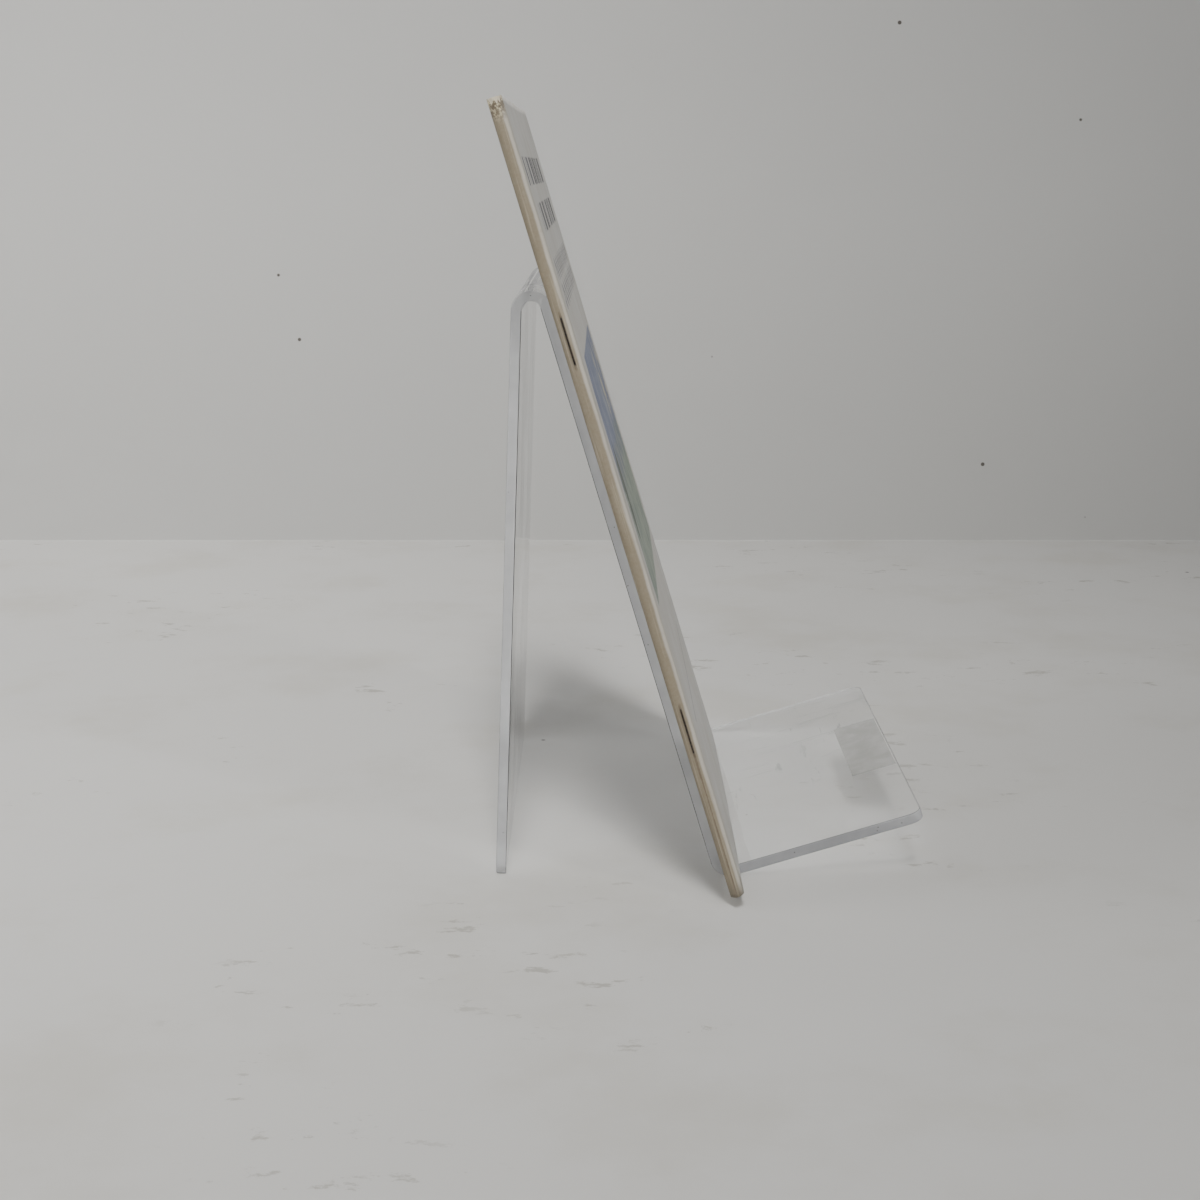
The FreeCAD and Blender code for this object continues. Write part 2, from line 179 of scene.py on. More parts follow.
def paper_sweep_material():
    """Matt paper: painted shade darkens the foot of the wall; on the floor, faint stains, rubs and
    flecks.
    """
    material, nodes, links, shader = new_material("paper_sweep")
    place = nodes.new("ShaderNodeTexCoord").outputs["Object"]
    height = nodes.new("ShaderNodeSeparateXYZ")
    links.new(place, height.inputs[0])
    upright = window(nodes, links, height.outputs["Z"], 0.0, 0.001)
    cloud = noise_in(nodes, links, place, 1.6, 3)
    # Painted shade: the wall's colour darkens towards its foot, where it meets the floor.
    wall_foot_shade = window(nodes, links, height.outputs["Z"], 0.0, 0.30, 0.62, 0)
    wall = mixed(nodes, links, wall_foot_shade, PAPER_GREY, PAPER_FOOT_SHADE)
    base = mixed(nodes, links, upright, PAPER_FLOOR, wall)
    base = mixed(nodes, links, window(nodes, links, cloud, 0.3, 0.7, 0, 0.10), base, PAPER_CLOUD)
    flat = window(nodes, links, height.outputs["Z"], 0.0, 0.001, 1, 0)
    stain = window(nodes, links, noise_in(nodes, links, place, 8, 5, 0.62), 0.46, 0.70, 0, 0.30)
    base = mixed(nodes, links, times(nodes, links, stain, flat), base, PAPER_STAIN)
    along = nodes.new("ShaderNodeMapping")
    along.inputs["Scale"].default_value = (75, 38, 38)
    links.new(place, along.inputs["Vector"])
    rub = window(nodes, links, noise_in(nodes, links, along.outputs[0], 1.0, 6, 0.72), 0.59, 0.65)
    here = window(nodes, links, noise_in(nodes, links, place, 5, 2), 0.54, 0.60)
    rub = times(nodes, links, times(nodes, links, rub, here), flat)
    base = mixed(nodes, links, times(nodes, links, rub, 0.6), base, PAPER_RUB)
    cells = nodes.new("ShaderNodeTexVoronoi")
    cells.inputs["Scale"].default_value = 16
    links.new(place, cells.inputs["Vector"])
    chosen = nodes.new("ShaderNodeSeparateColor")
    links.new(cells.outputs["Color"], chosen.inputs[0])
    fleck = window(nodes, links, cells.outputs["Distance"], 0.018, 0.028, 1, 0)
    fleck = times(nodes, links, fleck, window(nodes, links, chosen.outputs[0], 0.90, 0.91))
    base = mixed(nodes, links, fleck, base, PAPER_FLECK)
    links.new(base, shader.inputs["Base Color"])
    shader.inputs["Roughness"].default_value = 0.75
    shader.inputs["Specular IOR Level"].default_value = 0.25
    rumple = bump_of(nodes, links, noise_in(nodes, links, place, 5, 3, 0.5, 0.8), 0.10, 0.03)
    fine = noise_in(nodes, links, place, 60, 3)
    links.new(bump_of(nodes, links, fine, 0.08, 0.002, rumple), shader.inputs["Normal"])
    one_side = nodes.new("ShaderNodeMixShader")
    clear = nodes.new("ShaderNodeBsdfTransparent")
    links.new(nodes.new("ShaderNodeNewGeometry").outputs["Backfacing"], one_side.inputs[0])
    links.new(shader.outputs[0], one_side.inputs[1])
    links.new(clear.outputs[0], one_side.inputs[2])
    links.new(one_side.outputs[0], nodes["Material Output"].inputs["Surface"])
    return material


sweep = paper_sweep()
sweep.data.materials.append(paper_sweep_material())

# ---- Light and camera ----------------------------------------------------------------
# A lamp high over the front, whose grid aims it to the left, a weaker one at each side, a low
# one at the front, and a pale sky that is dimmer for matt surfaces than for glossy ones.
ROOM_LIGHT = (0.95, 0.97, 1.0, 1)
ROOM_ON_GLOSS = 0.45
ROOM_ON_MATT = 0.18
WARM_WHITE = (1.0, 0.985, 0.96)
SOFT_WHITE = (1.0, 0.99, 0.97)
CAMERA_PLACE = (-0.88455, 0.0430, 0.27275)
CAMERA_DIP = 11.44
SENSOR = 36
LENS = 64.1

world = bpy.data.worlds.new("soft_room")
scene.world = world
world.use_nodes = True
sky = world.node_tree.nodes["Background"]
sky.inputs["Color"].default_value = ROOM_LIGHT
onto_matt = world.node_tree.nodes.new("ShaderNodeLightPath").outputs["Is Diffuse Ray"]
sky_strength = window(
    world.node_tree.nodes, world.node_tree.links, onto_matt, 0, 1, ROOM_ON_GLOSS, ROOM_ON_MATT
)
world.node_tree.links.new(sky_strength, sky.inputs["Strength"])


def soft_lamp(name, place, look_at, width, height, power, colour, spread=180):
    """A rectangular area lamp that points at a place; its grid narrows its beam to spread degrees."""
    data = bpy.data.lights.new(name, "AREA")
    data.shape = "RECTANGLE"
    data.size = width
    data.size_y = height
    data.energy = power
    data.color = colour
    data.spread = math.radians(spread)
    lamp = bpy.data.objects.new(name, data)
    lamp.location = place
    lamp.rotation_euler = (Vector(look_at) - Vector(place)).to_track_quat("-Z", "Y").to_euler()
    scene.collection.objects.link(lamp)


soft_lamp("overhead_lamp", (-2.1, 0.08, 3.0), (0.30, 0.60, 0.0), 0.60, 1.40, 8.8, WARM_WHITE, spread=38)
soft_lamp("left_lamp", (-0.35, 1.75, 1.25), (0.10, 0.20, 0.0), 0.9, 0.9, 7.0, SOFT_WHITE)
soft_lamp("right_lamp", (-1.25, -1.05, 0.95), (0.0, 0.0, 0.10), 0.08, 0.08, 6.0, SOFT_WHITE)
soft_lamp("low_lamp", (-1.2, 0.62, 1.1), (0.05, 0.03, 0.05), 0.15, 0.15, 2, WARM_WHITE)

camera = bpy.data.objects.new("camera", bpy.data.cameras.new("camera"))
camera.location = CAMERA_PLACE
camera.rotation_euler = (math.radians(90 - CAMERA_DIP), 0, math.radians(-90))
camera.data.sensor_width = SENSOR
camera.data.lens = LENS
camera.data.clip_start = 0.02
scene.collection.objects.link(camera)
scene.camera = camera

# ---- The easel: one clear acrylic sheet ----------------------------------------------
# A flat 4 mm cast acrylic sheet, cut, its corners rounded and its edges polished, then bent
# on two hot lines: over the top into the leg, and at the foot into the ledge.
SHEET = 0.004
INNER_BEND = 0.0036
OUTER_BEND = INNER_BEND + SHEET
LEDGE = 0.081
CORNER = 0.006
CORNER_STEPS = 10
POLISH = 0.0005
POLISH_STEPS = 3
FOOT_SKIM = 0.0006
LEG_LEAN = math.radians(2.0)
TOP_BEND_STEPS = 28
LOW_BEND_STEPS = 18
CLEAR_TINT = (0.985, 0.99, 0.992, 1)
HAZY_TINT = (0.955, 0.962, 0.97, 1)
SPECK_TINT = (0.45, 0.43, 0.40, 1)
LAMP_THROUGH_FACE = (0.84, 0.845, 0.85, 1)
LAMP_THROUGH_EDGE = (0.30, 0.30, 0.31, 1)
PAINTED_EDGE_GREY = (0.56, 0.57, 0.59, 1)
PAINTED_EDGE_PALE = (0.70, 0.71, 0.73, 1)
EDGE_SPECK = (0.20, 0.19, 0.18, 1)
ACRYLIC_IOR = 1.49
SPECKS_ON_FACE = 120
SPECKS_ON_EDGE = 300

joints = {joint["name"]: joint for joint in frame["joints"]}
up_rest = Vector(joints["album_lift"]["axis"]).normalized()
out_of_rest = Vector((0, -up_rest.z, up_rest.y))
rest_lean = math.atan2(up_rest.y, up_rest.z)
easel_low, easel_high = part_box("easel_sheet")


def as_object(name, mesh_in_making, material, smooth=True):
    """Ends a bmesh as a finished object at the origin, with one material."""
    mesh = bpy.data.meshes.new(name)
    for face in mesh_in_making.faces:
        face.smooth = smooth
    mesh_in_making.to_mesh(mesh)
    mesh_in_making.free()
    mesh.materials.append(material)
    piece = bpy.data.objects.new(name, mesh)
    scene.collection.objects.link(piece)
    return piece


def run_on(work, edges, vector):
    """Carries a row of edges on by a vector and gives the new row."""
    grown = bmesh.ops.extrude_edge_only(work, edges=edges)["geom"]
    moved = [v for v in grown if isinstance(v, bmesh.types.BMVert)]
    bmesh.ops.translate(work, verts=moved, vec=vector)
    return [e for e in grown if isinstance(e, bmesh.types.BMEdge) and all(v in moved for v in e.verts)]


def turn_on(work, edges, centre, axis, angle, steps):
    """Carries a row of edges on round a bend and gives the new row."""
    ends = list({v for e in edges for v in e.verts})
    grown = bmesh.ops.spin(
        work, geom=edges + ends, cent=centre, axis=axis, angle=angle, steps=steps, use_duplicate=False
    )["geom_last"]
    return [e for e in grown if isinstance(e, bmesh.types.BMEdge)]


def bent_sheet():
    """The outer face as one bent ribbon, then its thickness, then its polished arrises."""
    leg_out = Vector((0, math.cos(LEG_LEAN), math.sin(LEG_LEAN)))
    leg_up = Vector((0, -math.sin(LEG_LEAN), math.cos(LEG_LEAN)))
    top_z = easel_high.z - OUTER_BEND
    to_bend = (top_z + OUTER_BEND * leg_out.z) / leg_up.z
    foot = Vector((0, easel_high.y, 0))
    top = foot + leg_up * to_bend - leg_out * OUTER_BEND
    rise = easel_high.z - 2 * OUTER_BEND
    setback = (INNER_BEND + OUTER_BEND + rise * math.sin(rest_lean)) / math.cos(rest_lean)
    low = top - Vector((0, setback, rise))
    work = bmesh.new()
    ends = [work.verts.new((x, foot.y, foot.z)) for x in (easel_low.x, easel_high.x)]
    row = [work.edges.new(ends)]
    row = run_on(work, row, leg_up * to_bend)
    row = turn_on(work, row, top, (1, 0, 0), math.pi - rest_lean - LEG_LEAN, TOP_BEND_STEPS)
    start = top + out_of_rest * OUTER_BEND
    end = low - out_of_rest * INNER_BEND
    row = run_on(work, row, end - start)
    row = turn_on(work, row, low, (1, 0, 0), -math.pi / 2, LOW_BEND_STEPS)
    run_on(work, row, out_of_rest * (LEDGE - INNER_BEND))
    bmesh.ops.remove_doubles(work, verts=work.verts, dist=1e-7)
    free = [v for v in work.verts if len(v.link_edges) == 2]
    bmesh.ops.bevel(
        work, geom=free, offset=CORNER, offset_type="OFFSET", segments=CORNER_STEPS, profile=0.5,
        affect="VERTICES", material=-1,
    )
    work.normal_update()
    front = [f for f in work.faces if abs(f.normal.dot(out_of_rest)) > 0.99]
    if front[0].normal.dot(out_of_rest) > 0:
        bmesh.ops.reverse_faces(work, faces=work.faces)
    bmesh.ops.solidify(work, geom=work.faces, thickness=-SHEET)
    bmesh.ops.recalc_face_normals(work, faces=work.faces)
    for vertex in work.verts:
        if vertex.co.z < FOOT_SKIM and vertex.co.y > 0:
            vertex.co.z = 0.0
    # Slot 1 is a cut edge, 0 a flat face and 2 a bend.
    for face in work.faces:
        cut = any(abs(e.calc_length() - SHEET) < 0.0002 for e in face.edges)
        flat = any(abs(face.normal.dot(way)) > 0.999 for way in (leg_out, out_of_rest, up_rest))
        face.material_index = 1 if cut else 0 if flat else 2
    work.normal_update()
    arrises = [e for e in work.edges if e.is_manifold and e.calc_face_angle() > math.radians(60)]
    bmesh.ops.bevel(
        work, geom=arrises, offset=POLISH, offset_type="OFFSET", segments=POLISH_STEPS, profile=0.5,
        affect="EDGES", material=-1, clamp_overlap=True,
    )
    return work


def scratch_group():
    """Handling marks on a clear sheet: fine scratches, haze and specks as three masks."""
    group = bpy.data.node_groups.new("handling_marks", "ShaderNodeTree")
    group.interface.new_socket("Position", in_out="INPUT", socket_type="NodeSocketVector")
    group.interface.new_socket("Spread", in_out="INPUT", socket_type="NodeSocketFloat")
    for name in ("Scratches", "Haze", "Specks"):
        group.interface.new_socket(name, in_out="OUTPUT", socket_type="NodeSocketFloat")
    nodes, links = group.nodes, group.links
    source = nodes.new("NodeGroupInput")
    result = nodes.new("NodeGroupOutput")
    lines = None
    for turn, stretch, scale in (((0.3, 0.2, 0.9), (40, 3, 3), 6), ((0.1, 1.1, 0.2), (3, 34, 4), 7)):
        place = nodes.new("ShaderNodeMapping")
        place.inputs["Rotation"].default_value = turn
        place.inputs["Scale"].default_value = stretch
        links.new(source.outputs["Position"], place.inputs["Vector"])
        fine = noise_in(nodes, links, place.outputs[0], scale, 3, 0.6)
        fine = window(nodes, links, fine, 0.655, 0.68)
        lines = fine if lines is None else math_of(nodes, links, "MAXIMUM", lines, fine)
    patches = window(nodes, links, noise_in(nodes, links, source.outputs["Position"], 9, 3), 0.5, 0.7)
    links.new(times(nodes, links, lines, patches), result.inputs["Scratches"])
    haze = noise_in(nodes, links, source.outputs["Position"], 14, 5, 0.6, 0.8)
    links.new(window(nodes, links, haze, 0.45, 0.8), result.inputs["Haze"])
    cells = nodes.new("ShaderNodeTexVoronoi")
    links.new(source.outputs["Position"], cells.inputs["Vector"])
    links.new(source.outputs["Spread"], cells.inputs["Scale"])
    near = window(nodes, links, cells.outputs["Distance"], 0.05, 0.09, 1, 0)
    chosen = nodes.new("ShaderNodeSeparateColor")
    links.new(cells.outputs["Color"], chosen.inputs[0])
    some = window(nodes, links, chosen.outputs[0], 0.86, 0.88)
    links.new(times(nodes, links, near, some), result.inputs["Specks"])
    return group


handling_marks = scratch_group()


def marks(nodes, links, place, spread):
    """Places the handling marks in a material."""
    node = nodes.new("ShaderNodeGroup")
    node.node_tree = handling_marks
    node.inputs["Spread"].default_value = spread
    links.new(place, node.inputs["Position"])
    return node.outputs


def clear_acrylic():
    """Clear cast acrylic: faint haze and scratches, a cool tint that shows along the edge."""
    material, nodes, links, shader = new_material("clear_acrylic")
    place = nodes.new("ShaderNodeTexCoord").outputs["Object"]
    worn = marks(nodes, links, place, SPECKS_ON_FACE)
    shader.inputs["Transmission Weight"].default_value = 1.0
    shader.inputs["IOR"].default_value = ACRYLIC_IOR
    shader.inputs["Metallic"].default_value = 0.0
    cloudy = window(nodes, links, worn["Haze"], 0, 1, 0, 0.5)
    tint = mixed(nodes, links, cloudy, CLEAR_TINT, HAZY_TINT)
    tint = mixed(nodes, links, worn["Specks"], tint, SPECK_TINT)
    links.new(tint, shader.inputs["Base Color"])
    hazed = window(nodes, links, worn["Haze"], 0, 1, 0.015, 0.06)
    rough = math_of(nodes, links, "ADD", hazed, times(nodes, links, worn["Scratches"], 0.25))
    links.new(rough, shader.inputs["Roughness"])
    wave = noise_in(nodes, links, place, 12, 2)
    slow = bump_of(nodes, links, wave, 0.06, 0.004)
    links.new(bump_of(nodes, links, worn["Scratches"], 0.12, 0.0002, slow), shader.inputs["Normal"])
    lamp_way = nodes.new("ShaderNodeMixShader")
    clear = nodes.new("ShaderNodeBsdfTransparent")
    graze = nodes.new("ShaderNodeLayerWeight")
    graze.inputs["Blend"].default_value = 0.35
    edge_on = window(nodes, links, graze.outputs["Facing"], 0.25, 0.75)
    thrown = mixed(nodes, links, edge_on, LAMP_THROUGH_FACE, LAMP_THROUGH_EDGE)
    links.new(thrown, clear.inputs["Color"])
    links.new(nodes.new("ShaderNodeLightPath").outputs["Is Shadow Ray"], lamp_way.inputs[0])
    links.new(shader.outputs[0], lamp_way.inputs[1])
    links.new(clear.outputs[0], lamp_way.inputs[2])
    links.new(lamp_way.outputs[0], nodes["Material Output"].inputs["Surface"])
    return material


def painted_edge_light(name, thin, thick):
    """A cut edge or a tight bend gathers light along the sheet; that light and the edge's reflections
    are painted as a cloudy grey band.
    """
    material, nodes, links, shader = new_material(name)
    place = nodes.new("ShaderNodeTexCoord").outputs["Object"]
    slow = noise_in(nodes, links, place, 18, 4, 0.6)
    # Painted light: the grey and its paler patches stand in for light carried along the edge and for
    # reflections in it.
    tone = mixed(nodes, links, window(nodes, links, slow, 0.3, 0.7), PAINTED_EDGE_GREY, PAINTED_EDGE_PALE)
    worn = marks(nodes, links, place, SPECKS_ON_EDGE)
    tone = mixed(nodes, links, worn["Specks"], tone, EDGE_SPECK)
    links.new(tone, shader.inputs["Base Color"])
    links.new(window(nodes, links, slow, 0.3, 0.7, 0.12, 0.3), shader.inputs["Roughness"])
    shader.inputs["IOR"].default_value = ACRYLIC_IOR
    links.new(window(nodes, links, slow, 0.25, 0.75, thin, thick), shader.inputs["Alpha"])
    ripple = noise_in(nodes, links, place, 260, 3)
    links.new(bump_of(nodes, links, ripple, 0.12, 0.0002), shader.inputs["Normal"])
    return material


acrylic = clear_acrylic()
easel = as_object("bent_acrylic_sheet", bent_sheet(), acrylic)
# Cut edges and bends get painted light and reflections as grey bands.
easel.data.materials.append(painted_edge_light("polished_cut_edge", thin=0.50, thick=0.72))
easel.data.materials.append(painted_edge_light("hot_bend_in_acrylic", thin=0.16, thick=0.34))
flat = easel.modifiers.new("even_faces", "WEIGHTED_NORMAL")
flat.keep_sharp = False
flat.weight = 90
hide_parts("easel_sheet")
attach(easel, "stand")

# ---- Blank label on the ledge --------------------------------------------------------
# A strip of frosted adhesive film, three quarters of an inch deep and three inches long, cut
# from a roll, so its two short ends have small teeth. Stuck on the ledge, close to the front.
LABEL_LENGTH = 0.076
LABEL_DEPTH = 0.019
LABEL_FILM = 0.0001
LABEL_COLUMNS = 76
LABEL_TEETH = 24
TOOTH_NARROWING = 0.985
FILM_GREY = (0.50, 0.50, 0.48, 1)
FILM_PALE = (0.58, 0.58, 0.56, 1)
FILM_BUBBLE = (0.72, 0.72, 0.70, 1)
BUBBLES_IN_FILM = 420


def ledge_strip():
    """The film as a grid with toothed ends, thickened and laid on the ledge."""
    low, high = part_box("ledge_label")
    work = bmesh.new()
    bmesh.ops.create_grid(work, x_segments=LABEL_COLUMNS, y_segments=LABEL_TEETH, size=0.5)
    bmesh.ops.scale(work, vec=(LABEL_LENGTH, LABEL_DEPTH, 1), verts=work.verts)
    step = LABEL_DEPTH / LABEL_TEETH
    for vertex in work.verts:
        if abs(abs(vertex.co.x) - LABEL_LENGTH / 2) < 1e-6 and round(vertex.co.y / step) % 2:
            vertex.co.x *= TOOTH_NARROWING
    bmesh.ops.solidify(work, geom=work.faces, thickness=LABEL_FILM)
    turn = Matrix.Rotation(-rest_lean, 4, "X")
    bmesh.ops.transform(work, matrix=turn, verts=work.verts)
    mid_x = (low.x + high.x) / 2
    mid_y = (low.y + high.y) / 2
    mid_z = (low.z + high.z) / 2
    bmesh.ops.translate(work, vec=(mid_x, mid_y, mid_z), verts=work.verts)
    centre = sum((v.co for v in work.verts), Vector()) / len(work.verts)
    bmesh.ops.translate(work, vec=Vector((0, mid_y - centre.y, mid_z - centre.z)), verts=work.verts)
    bmesh.ops.recalc_face_normals(work, faces=work.faces)
    return work


def frosted_film():
    """Frosted film: half clear, matt, with a few pale bubbles under it."""
    material, nodes, links, shader = new_material("frosted_film")
    place = nodes.new("ShaderNodeTexCoord").outputs["Object"]
    cloud = noise_in(nodes, links, place, 90, 4)
    tone = mixed(nodes, links, window(nodes, links, cloud, 0.35, 0.7), FILM_GREY, FILM_PALE)
    worn = marks(nodes, links, place, BUBBLES_IN_FILM)
    tone = mixed(nodes, links, worn["Specks"], tone, FILM_BUBBLE)
    links.new(tone, shader.inputs["Base Color"])
    links.new(window(nodes, links, cloud, 0.3, 0.7, 0.42, 0.62), shader.inputs["Roughness"])
    links.new(window(nodes, links, cloud, 0.2, 0.8, 0.40, 0.50), shader.inputs["Alpha"])
    grain = noise_in(nodes, links, place, 900, 2)
    links.new(bump_of(nodes, links, grain, 0.2, 0.0001), shader.inputs["Normal"])
    return material


strip = as_object("blank_label_strip", ledge_strip(), frosted_film(), smooth=False)
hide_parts("ledge_label")
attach(strip, "stand")

# ---- The album's cover: front, spine and back ----------------------------------------
# One sheet of stiff uncoated stock, folded round the pages. It has yellowed to tan along the fold, with
# painted shade in the tan at the back of the round; its head is torn at the spine, and its far top
# corner has been rubbed round.
LEAF_WIDTH = 0.2286
LEAF_HEIGHT = 0.3048
HALF_ALBUM = 0.00265
COVER_STOCK = 0.0002
GUTTER = 0.001
PINCH = 0.42
PINCH_FROM = 0.012
PINCH_UP_TO = 0.062
TORN_DOWN_TO = 0.003
TEETH_IN_A_METRE = 5200
LUMP = 0.00006
BOW = 0.0004
CORNER_LIFT = 0.0005
RUBBED_CORNER = 0.006
TRIMMED_CORNER = 0.004
CROWDING = 1.8
FRONT_GRID = (90, 110)
BACK_GRID = (60, 60)
SPINE_GRID = (20, 190)
STAPLE_HEIGHTS = (0.71, 0.22)
COVER_PALE = (0.62, 0.61, 0.585, 1)
COVER_CLOUD = (0.58, 0.56, 0.52, 1)
FOLD_CREAM = (0.55, 0.525, 0.46, 1)
FOLD_TAN_AND_SHADE = (0.255, 0.215, 0.15, 1)
FOLD_RUBBED = (0.62, 0.57, 0.46, 1)
CRACK_BROWN = (0.12, 0.09, 0.06, 1)
STAPLE_DIRT = (0.07, 0.045, 0.03, 1)
TORN_DARK = (0.11, 0.08, 0.05, 1)
TORN_PALE = (0.66, 0.59, 0.41, 1)
FOOT_CONTACT_SHADE = (0.17, 0.145, 0.11, 1)
FOXING = (0.36, 0.28, 0.18, 1)
COVER_FIBRE = (0.42, 0.40, 0.36, 1)

crease = Vector(joints["pages_open"]["pos_m"])
album_turn = Matrix((
    (1, 0, 0, 0),
    (0, -out_of_rest.y, up_rest.y, 0),
    (0, -out_of_rest.z, up_rest.z, 0),
    (0, 0, 0, 1),
))
crease_in_album = Vector((HALF_ALBUM + GUTTER, -HALF_ALBUM, 0))
album_place = Matrix.Translation(crease - album_turn @ crease_in_album) @ album_turn
leaf_start = HALF_ALBUM + GUTTER
rng = random.Random(4)


def leaf_panel(thickness, front_y, width, height, grid, corner):
    """A flat leaf in the album's own place: x from the fold's lap, z up, front face at y.

    Its columns crowd towards the gutter, where an opened leaf bends.
    """
    columns, rows = grid
    work = bmesh.new()
    bmesh.ops.create_grid(work, x_segments=columns, y_segments=rows, size=0.5)
    bmesh.ops.rotate(work, matrix=Matrix.Rotation(math.pi / 2, 3, "X"), verts=work.verts)
    span = width - leaf_start
    for vertex in work.verts:
        share = vertex.co.x + 0.5
        vertex.co.x = leaf_start + span * share ** CROWDING
        vertex.co.z = (vertex.co.z + 0.5) * height
        vertex.co.y = front_y
    for vertex in work.verts:
        to_side = vertex.co.x - (width - corner)
        to_head = vertex.co.z - (height - corner)
        if to_side > 0 and to_head > 0:
            reach = max(to_side, to_head) / math.hypot(to_side, to_head)
            vertex.co.x = width - corner + to_side * reach
            vertex.co.z = height - corner + to_head * reach
    work.normal_update()
    if sum(f.normal.y for f in work.faces) < 0:
        bmesh.ops.reverse_faces(work, faces=work.faces)
    bmesh.ops.solidify(work, geom=work.faces, thickness=thickness)
    lowest = min(v.co.y for v in work.verts)
    bmesh.ops.translate(work, vec=(0, front_y - lowest, 0), verts=work.verts)
    bmesh.ops.recalc_face_normals(work, faces=work.faces)
    return work


def smooth_step(value, low, high):
    """0 below low, 1 above high and smooth between."""
    share = min(1.0, max(0.0, (value - low) / (high - low)))
    return share * share * (3 - 2 * share)


def spine_wrap(radius, thickness, height, grid):
    """A folded strip in the album's own place: lap, half-round and lap, pinched at its foot."""
    steps, rows = grid
    work = bmesh.new()
    ends = [work.verts.new((leaf_start, radius, z * height / rows)) for z in range(rows + 1)]
    row = [work.edges.new(pair) for pair in zip(ends, ends[1:])]
    row = run_on(work, row, (-GUTTER, 0, 0))
    row = turn_on(work, row, (HALF_ALBUM, 0, 0), (0, 0, 1), math.pi, steps)
    run_on(work, row, (GUTTER, 0, 0))
    bmesh.ops.remove_doubles(work, verts=work.verts, dist=1e-8)
    work.normal_update()
    outside = [f for f in work.faces if f.calc_center_median().x < HALF_ALBUM * 0.5]
    if sum(f.normal.x for f in outside) > 0:
        bmesh.ops.reverse_faces(work, faces=work.faces)
    bmesh.ops.solidify(work, geom=work.faces, thickness=thickness)
    bmesh.ops.recalc_face_normals(work, faces=work.faces)
    for vertex in work.verts:
        at_fold = 1 - smooth_step(vertex.co.x, 0.0, leaf_start)
        at_foot = 1 - smooth_step(vertex.co.z, PINCH_FROM, PINCH_UP_TO)
        vertex.co.y *= 1 - PINCH * at_fold * at_foot
    return work


def in_album(work):
    """Puts a mesh made in the album's own place where the album leans."""
    bmesh.ops.transform(work, matrix=album_place, verts=work.verts)
    return work


def front_stock():
    """The front: a rounded far corner, and a slight bow away from the pages.

    Only its outer face takes the print. Slot 1 is for its edges and its inner face.
    """
    work = leaf_panel(COVER_STOCK, -HALF_ALBUM, LEAF_WIDTH, LEAF_HEIGHT, FRONT_GRID, RUBBED_CORNER)
    for vertex in work.verts:
        across = (vertex.co.x - leaf_start) / (LEAF_WIDTH - leaf_start)
        upright = vertex.co.z / LEAF_HEIGHT
        bow = math.sin(across * math.pi * 0.9) * (0.6 + 0.4 * math.sin(upright * 4.1 + 0.6))
        lift = smooth_step(across, 0.75, 1.0) * smooth_step(upright, 0.6, 1.0)
        vertex.co.y -= BOW * bow + CORNER_LIFT * lift
    work.normal_update()
    for face in work.faces:
        face.material_index = int(face.normal.y > -0.5)
    return work


def spine_stock():
    """The spine: worn lumpy along its length and torn into teeth at its head."""
    work = spine_wrap(HALF_ALBUM, COVER_STOCK, LEAF_HEIGHT, SPINE_GRID)
    tear = {}
    for vertex in work.verts:
        key = round(vertex.co.y * TEETH_IN_A_METRE)
        if key not in tear:
            tear[key] = rng.uniform(0.15, 1.0)
        on_round = 1 - smooth_step(vertex.co.x, 0.0018, leaf_start)
        into_head = smooth_step(vertex.co.z, LEAF_HEIGHT - 2.2 * TORN_DOWN_TO, LEAF_HEIGHT)
        vertex.co.z -= TORN_DOWN_TO * tear[key] * on_round * into_head
        lump = math.sin(vertex.co.z * 210) + 0.6 * math.sin(vertex.co.z * 487 + 1.3)
        vertex.co.x += LUMP * (lump + 1.6) * on_round
    return work


def album_coordinates(nodes):
    """The position in the album's own place: x from the spine, y from the fold, z from the foot."""
    own = nodes.new("ShaderNodeMapping")
    own.vector_type = "TEXTURE"
    own.inputs["Location"].default_value = album_place.to_translation()
    own.inputs["Rotation"].default_value = album_turn.to_euler()
    return own


